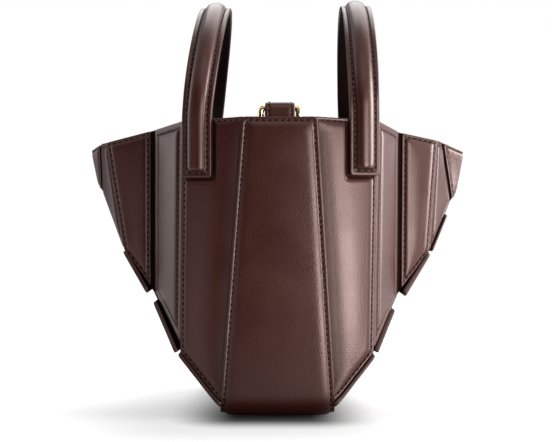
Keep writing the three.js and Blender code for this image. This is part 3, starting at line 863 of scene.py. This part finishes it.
def makeStrip():
    rim = np.array([strip["rimY"], strip["rimZ"]])
    fall = unit(np.array([strip["footY"], strip["footZ"]]) - rim)
    faceOut = np.array([fall[1], -fall[0]])
    bendZ = stripProfile[-1][1] + strip["crown"] + strip["bend"]
    centre = rim + fall * (bendZ - rim[1]) / fall[1] - faceOut * strip["bend"]
    start = math.atan2(faceOut[1], faceOut[0]) % (2 * math.pi)
    angles = np.linspace(start, 1.5 * math.pi, strip["bendRows"])
    bend = centre + np.stack([np.cos(angles), np.sin(angles)], 1) * strip["bend"]
    face = rim + (bend[0] - rim) * np.linspace(0, 1, strip["faceRows"] + 1)[:-1, None]
    path = np.concatenate([face, bend])
    path = np.concatenate([path, path[::-1] * np.array([-1.0, 1.0])])
    gone = distances(path)
    even = np.linspace(0, gone[-1], round(gone[-1] / strip["step"]))
    path = easedPath(np.stack([np.interp(even, gone, path[:, k]) for k in (0, 1)], 1), strip["ease"])
    along = unit(np.gradient(path, axis=0))
    out = np.stack([along[:, 1], -along[:, 0]], 1)
    lay, far = alongPath(np.insert(path, 0, 0.0, axis=1), (1.0, 0.0, 0.0), np.insert(out, 0, 0.0, axis=1))
    down = np.clip((strip["rimZ"] - path[:, 1]) / (strip["rimZ"] - strip["footZ"]), 0, 1)
    grow = (strip["footHalf"] - strip["rimHalf"]) * down
    deepen = 1 + (strip["baseDepth"] / -stripProfile[0][1] - 1) * np.clip(-out[:, 1], 0, 1)

    # the sheet is drawn with parallel sides; its middle takes up the widening towards the base
    def place(flat, height):
        x, s = flat.T
        wide = x + np.clip(x / (strip["spread"] * strip["rimHalf"]), -1, 1) * np.interp(s, far, grow)
        wide += strip["lean"] * (1 - np.interp(s, far, down))
        height = np.where(height < strip["backFrom"], height * np.interp(s, far, deepen), height)
        return lay(np.stack([wide, s], 1), height)

    quad = bandQuad(strip["rimHalf"] - strip["sideGap"], 0, far[-1])
    piece = makePlate(
        "centre_strip_leather", quad, place, stripProfile, strip["counts"], [leather, lining], strip["crown"],
        strip["endPower"],
    )
    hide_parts("centre_strip")
    markStitches("strip", quad, place, strip["stitchInset"], strip["stitchHeight"])


makeStrip()
print("centre strip made")


# the dark strip under each arch, from where the handle leaves the wall
handleLining = dict(width=19.3, startZ=205.0, columns=8, step=3.0)
handleLiningProfile = [
    (0.2, -0.05, 0.0, 0.0), (0.0, 0.25, 0.0, 0.0), (0.0, 0.75, 0.0, 0.0), (0.3, 1.1, 0.0, 0.0),
    (1.2, 1.1, 0.0, 0.0),
]


def makeHandle(side):
    middles, across, outward = handleStations(side)
    place, far = alongPath(middles, across, outward, mirrorOf(side))
    quad = bandQuad(handle["width"] / 2, 0, far[-1])
    counts = (handle["columns"], round(far[-1] / handle["step"]))
    piece = makePlate(
        f"handle_{side}_leather", quad, place, strapProfile, counts, [leather], blunt=handle["core"]
    )
    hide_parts(f"handle_{side}")
    inset, height = handle["stitchInset"], handle["stitchHeight"]
    markStitches("handles", quad, place, inset, height, trim=handle["stitchTrim"])

    def under(flat, height):
        return place(flat, handle["back"] - height)

    free = far[np.argmax(middles[:, 2] >= handleLining["startZ"])]
    quad = bandQuad(handleLining["width"] / 2, free, far[-1] - free)
    counts = (handleLining["columns"], round(far[-1] / handleLining["step"]))
    piece = makePlate(f"handle_lining_{side}_suede", quad, under, handleLiningProfile, counts, [lining])
    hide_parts(f"handle_lining_{side}")


for side in handleRows:
    makeHandle(side)
print("handles made")


# strap rings in their folded tabs, inside each end of the rim
ring = dict(
    wire=2.0, innerWidth=21.6, innerHeight=13.5, corner=3.0, cornerRows=9, sides=20,
    barX=1.6, barY=-91.4, barZ=209.2,
)
tab = dict(
    width=20.4, bore=2.35, footZ=173.0, bendZ=193.0, frontFootZ=177.0, neck=(-92.9, 202.3),
    offStrip=2.9, backLeaf=1.6, frontLeaf=1.65, wrap=(175, -56, -11), step=1.2, ease=3, columns=12, rowStep=1.3,
    nip=0.06, nipSpan=4.0, stitchInset=2.7, stitchHeight=1.15,
)
tabProfile = [
    (0.3, 0.0, 0.2, 0.0), (0.0, 0.25, 0.0, 0.6), (0.04, 0.8, 0.0, 0.9), (0.22, 1.16, 0.0, 1.0),
    (0.58, 1.42, 0.0, 0.7), (1.1, 1.53, 0.0, 0.2), (2.1, 1.52, 0.0, 0.0), (2.4, 1.38, 0.7, 0.0),
    (2.7, 1.3, 1.0, 0.0), (3.0, 1.4, 0.7, 0.0), (3.6, 1.58, 0.0, 0.0), (4.8, 1.66, 0.0, 0.0),
]


def tabPath():
    slope = (strip["footY"] - strip["rimY"]) / (strip["rimZ"] - strip["footZ"])

    def byWall(z, leaf):
        return strip["rimY"] + (strip["rimZ"] - z) * slope + tab["offStrip"] + leaf, z

    points = [byWall(tab["footZ"], tab["backLeaf"]), byWall(tab["bendZ"], tab["backLeaf"])]
    for angle in np.radians(np.arange(*tab["wrap"])):
        points.append((ring["barY"] + tab["bore"] * math.cos(angle), ring["barZ"] + tab["bore"] * math.sin(angle)))
    points += [tab["neck"], byWall(tab["bendZ"], tab["frontLeaf"]), byWall(tab["frontFootZ"], tab["frontLeaf"])]
    points = np.array(points)
    fine = [points[0]]
    for here, after in zip(points, points[1:]):
        parts = max(1, round(np.linalg.norm(after - here) / tab["step"]))
        fine += [here + (after - here) * k / parts for k in range(1, parts + 1)]
    return easedPath(np.array(fine), tab["ease"])


def makeTab(half, toFront):
    path = tabPath()
    along = unit(np.gradient(path, axis=0))
    outward = np.stack([0 * along[:, 0], -along[:, 1], along[:, 0]], 1)
    middles = np.insert(path, 0, ring["barX"], axis=1)
    lay, far = alongPath(middles, (1.0, 0.0, 0.0), outward, (1.0, toFront, 1.0))

    def place(flat, height):
        points = lay(flat, height)
        over = np.clip((points[:, 2] - ring["barZ"]) / tab["nipSpan"], 0, 1)
        points[:, 0] -= (points[:, 0] - ring["barX"]) * tab["nip"] * over ** 2
        return points

    quad = bandQuad(tab["width"] / 2, 0, far[-1])
    counts = (tab["columns"], round(far[-1] / tab["rowStep"]))
    piece = makePlate(f"ring_tab_{half}_leather", quad, place, tabProfile, counts, [leather, lining])
    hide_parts(f"ring_tab_{half}")
    markStitches("strip", quad, place, tab["stitchInset"], tab["stitchHeight"], (1, 3))


def makeRing(half, toFront):
    wire, corner, sides = ring["wire"], ring["corner"], ring["sides"]
    wide = ring["innerWidth"] / 2 + wire
    tall = ring["innerHeight"] / 2 + wire
    path = []
    for turn, (right, up) in enumerate([(1, 1), (-1, 1), (-1, -1), (1, -1)]):
        centre = np.array([right * (wide - corner), ring["barZ"] - tall + up * (tall - corner)])
        for angle in np.radians(90 * turn + np.linspace(0, 90, ring["cornerRows"])):
            out = np.array([math.cos(angle), math.sin(angle)])
            path.append((centre + out * corner, out))
    points, faces = [], []
    for s, (place, out) in enumerate(path):
        faces += bandFaces(s * sides, (s + 1) % len(path) * sides, sides)
        for k in range(sides):
            around = 2 * math.pi * k / sides
            x, z = place + out * wire * math.cos(around)
            points.append((x + ring["barX"], toFront * (ring["barY"] + wire * math.sin(around)), z))
    piece = newPiece(f"strap_ring_{half}_gold", points, faces, [goldLook], f"{half}_ring")
    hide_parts(f"strap_ring_{half}")


for make in (makeTab, makeRing):
    for half, toFront in halves.items():
        make(half, toFront)
print("tabs and rings made")


# stitching: one node tree lays a stitch at every pitch along the marked rows, and between two a dark suede bead as
# painted shade in the needle hole
stitch = dict(pitch=4.0, length=2.3, width=0.72, height=0.52, slant=8.0, hole=2.1, holeWidth=1.35, sink=0.2)
bead = {"Segments": 8, "Rings": 5, "Radius": 0.5}


def makeStitchTree():
    tree = bpy.data.node_groups.new("stitchRows", "GeometryNodeTree")
    sockets = dict(rows="Geometry", thread="Material", pierced="Material", **dict.fromkeys(stitch, "Float"))
    for label, kind in sockets.items():
        tree.interface.new_socket(label, in_out="INPUT", socket_type=f"NodeSocket{kind}")
    tree.interface.new_socket("sewn", in_out="OUTPUT", socket_type="NodeSocketGeometry")
    shop = Shop(tree)
    given = {socket.name: Wire(shop, socket) for socket in tree.nodes.new("NodeGroupInput").outputs}
    curve = shop.node("GeometryNodeMeshToCurve", {"Mesh": given["rows"]})
    dots = shop.node("GeometryNodeResampleCurve", {"Curve": curve, "Length": given["pitch"]}, mode="LENGTH")
    tangent = shop.node("GeometryNodeInputTangent")
    facing = shop.node("GeometryNodeInputNamedAttribute", {"Name": "facing"}, data_type="FLOAT_VECTOR")
    align = "FunctionNodeAlignRotationToVector"
    along = shop.node(align, {"Vector": tangent}, axis="X")
    standing = shop.node(align, {"Rotation": along, "Vector": facing}, axis="Z", pivot_axis="X")
    yaw = {"Rotation": standing, "Rotate By": shop.vector(Z=given["slant"])}
    turned = shop.node("FunctionNodeRotateRotation", yaw, rotation_space="LOCAL")
    ball = shop.node("GeometryNodeMeshUVSphere", bead)

    def laid(size, rotation, shift, look):
        shaped = shop.node("GeometryNodeTransform", {"Geometry": ball, "Scale": size})
        rounded = shop.node("GeometryNodeSetShadeSmooth", {"Geometry": shaped})
        inputs = {"Points": dots, "Instance": rounded, "Rotation": rotation}
        sewn = shop.node("GeometryNodeInstanceOnPoints", inputs)
        moved = shop.node("GeometryNodeTranslateInstances", {"Instances": sewn, "Translation": shift})
        real = shop.node("GeometryNodeRealizeInstances", {"Geometry": moved})
        return shop.node("GeometryNodeSetMaterial", {"Geometry": real, "Material": look})

    size = shop.vector(X=given["length"], Y=given["width"], Z=given["height"])
    holeSize = shop.vector(X=given["hole"], Y=given["holeWidth"], Z=given["height"])
    between = shop.vector(X=given["pitch"] * 0.5, Z=given["sink"] * -1.0)
    threads = laid(size, turned, shop.vector(), given["thread"])
    # painted shade: a dark bead sunk in each needle hole
    holeShades = laid(holeSize, standing, between, given["pierced"])
    both = shop.node("GeometryNodeJoinGeometry", {"Geometry": threads})
    tree.links.new(holeShades.socket, both.socket.node.inputs[0])
    tree.links.new(both.socket, tree.nodes.new("NodeGroupOutput").inputs["sewn"])
    return tree


def sewRows(group, rows, tree):
    points = np.concatenate([low for low, _ in rows])
    facing = np.concatenate([out for _, out in rows])
    edges, first = [], 0
    for low, _ in rows:
        edges += [(first + k, first + k + 1) for k in range(len(low) - 1)]
        first += len(low)
    mesh = bpy.data.meshes.new(f"stitch_rows_{group}")
    mesh.from_pydata((points * mm).tolist(), edges, [])
    normals = mesh.attributes.new("facing", "FLOAT_VECTOR", "POINT")
    normals.data.foreach_set("vector", facing.astype(np.float32).ravel())
    marked = addObject(f"stitch_rows_{group}", mesh)
    sewing = marked.modifiers.new("sewing", "NODES")
    sewing.node_group = tree
    values = {label: size * mm for label, size in stitch.items()}
    values.update(slant=math.radians(stitch["slant"]), thread=threadLook, pierced=lining)
    for item in tree.interface.items_tree:
        if item.in_out == "INPUT" and item.name in values:
            sewing[item.identifier] = values[item.name]
    bpy.context.view_layer.update()
    ready = marked.evaluated_get(bpy.context.evaluated_depsgraph_get())
    sewn = bpy.data.meshes.new_from_object(ready)
    bpy.data.objects.remove(marked)
    piece = addObject(f"stitches_{group}", sewn)
    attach(piece, "bag")
    print("stitches", group, len(sewn.polygons), "faces")


stitchTree = makeStitchTree()
for group, rows in stitchRows.items():
    sewRows(group, rows, stitchTree)


# pale sweep, a big soft light from the right, white walls behind and a dark room behind the camera
studio = dict(
    # the painted contact shadow round the bag's foot: its darkest colour and its dimmed glow, with footShade
    # saying where it falls
    floor=(0.39, 0.39, 0.39, 1), floorHaze=(0.41, 0.41, 0.41, 1), floorShadow=(0.012, 0.012, 0.012, 1),
    floorShadeGlow=(0.86, 0.86, 0.86, 1), floorReach=(1.6, -0.32, 1.2), floorClear=(0.12, 0.6), floorGlow=0.8,
    floorShine=0.45, haze=(3.0, 2.0),
    footShade=[
        dict(middle=(-0.003, -0.002), half=(0.024, 0.099), span=0.050, share=0.74),
        dict(middle=(-0.020, -0.110), half=(0.040, 0.030), span=0.16, share=0.38),
    ],
    aimHeight=0.12,
    boxes=dict(
        key=dict(at=(0.735, -1.235, -0.025), size=0.50, power=15.5, tint=(1.0, 0.97, 0.96)),
        side=dict(at=(1.475, -0.08, 0.45), size=0.7, power=36.0),
        fill=dict(at=(-1.5, 0.35, 0.5), size=0.8, power=4.0),
        leftGlow=dict(at=(-0.95, -1.05, -0.17), size=0.5, power=1.3, tint=(0.88, 0.96, 1.0)),
        topFront=dict(at=(0.15, -0.8, 1.0), size=0.7, power=1.2),
        topBack=dict(at=(0.2, 0.85, 1.25), size=1.3, power=14.0),
    ),
    overhead=dict(power=1.5, spread=150.0, lean=-8.0, fromRight=12.0, height=2.0),
    wall=1.0, room=0.02, roomSpan=(-0.6, 0.3), leftWall=0.78, rightWall=1.65, wallSpan=(-0.5, 0.5),
    behind=0.03, behindSpan=(0.5, 0.9),
)


def makeFloor():
    material, shop, surface, where = newMaterial("paleSweep")
    haze = shop.noise(where, *studio["haze"])
    # painted shadow: the sweep's colour and glow are darkened softly round the foot of the bag
    lights = []
    for shade in studio["footShade"]:
        far = []
        for axis, middle, half in zip("XY", shade["middle"], shade["half"]):
            out = shop.maths("ABSOLUTE", shop.part(where, axis) - middle) - half
            far.append(shop.maths("MAXIMUM", out, 0.0))
        reach = shop.maths("SQRT", far[0] * far[0] + far[1] * far[1])
        lights.append(shop.ramp(reach, 0.0, shade["span"], 0.0, shade["share"]))
    lit = lights[0] + lights[1]
    colour = shop.blend(lit, studio["floorShadow"], shop.blend(haze, studio["floor"], studio["floorHaze"]))
    glow = shop.blend(lit, studio["floorShadow"], studio["floorShadeGlow"])
    # and runs out to plain white well away from it
    glow = shop.blend(shop.ramp(reach, *studio["floorClear"]), glow, (1, 1, 1, 1))
    # only part of its glow reaches the leather
    seen = shop.node("ShaderNodeLightPath", None, "Is Camera Ray")
    glow = shop.blend(seen * (1 - studio["floorShine"]) + studio["floorShine"], (0, 0, 0, 1), glow)
    shop.plug(
        surface, Base_Color=colour, Roughness=haze * 0.1 + 0.75, Emission_Color=glow,
        Emission_Strength=studio["floorGlow"],
    )
    aside, front, back = studio["floorReach"]
    corners = [(-aside, front, 0), (aside, front, 0), (aside, back, 0), (-aside, back, 0)]
    mesh = bpy.data.meshes.new("floor")
    mesh.from_pydata(corners, [], [(0, 1, 2, 3)])
    mesh.materials.append(material)
    floor = addObject("floor", mesh)


def makeSoftbox(name, at, size, power, tint=(1.0, 1.0, 1.0)):
    data = bpy.data.lights.new(name, "AREA")
    data.size = size
    data.energy = power
    data.color = tint
    light = addObject(name, data)
    light.location = at
    aim = np.array([0.0, 0.0, studio["aimHeight"]]) - np.array(at)
    rise = math.atan2(aim[2], math.hypot(aim[0], aim[1]))
    light.rotation_euler = (math.pi / 2 + rise, 0, math.atan2(-aim[0], aim[1]))


def makeOverhead(power, spread, lean, fromRight, height):
    data = bpy.data.lights.new("overhead", "SUN")
    data.energy = power
    data.angle = math.radians(spread)
    light = addObject("overhead", data)
    light.location = (0, 0, height)
    light.rotation_euler = (math.radians(lean), math.radians(fromRight), 0)


def makeSky():
    world = bpy.data.worlds.new("studioSky")
    bpy.context.scene.world = world
    world.use_nodes = True
    shop = Shop(world.node_tree)
    sky = world.node_tree.nodes["Background"]
    seen = shop.node("ShaderNodeLightPath", None, "Is Camera Ray")
    toward = shop.node("ShaderNodeTexCoord", None, "Generated")
    across = shop.part(toward, "X")
    depth = shop.ramp(shop.part(toward, "Y"), *studio["roomSpan"], studio["room"], studio["wall"])
    sided = shop.ramp(across, *studio["wallSpan"], studio["leftWall"], studio["rightWall"], "LINEAR")
    away = shop.ramp(shop.maths("ABSOLUTE", across), *studio["behindSpan"], studio["behind"], 1.0, "LINEAR")
    power = seen + (1 - seen) * depth * sided * away
    shop.plug(sky, Color=(1, 1, 1, 1), Strength=power)


makeFloor()
for name, box in studio["boxes"].items():
    makeSoftbox(name, **box)
makeOverhead(**studio["overhead"])
makeSky()
print("studio ready")
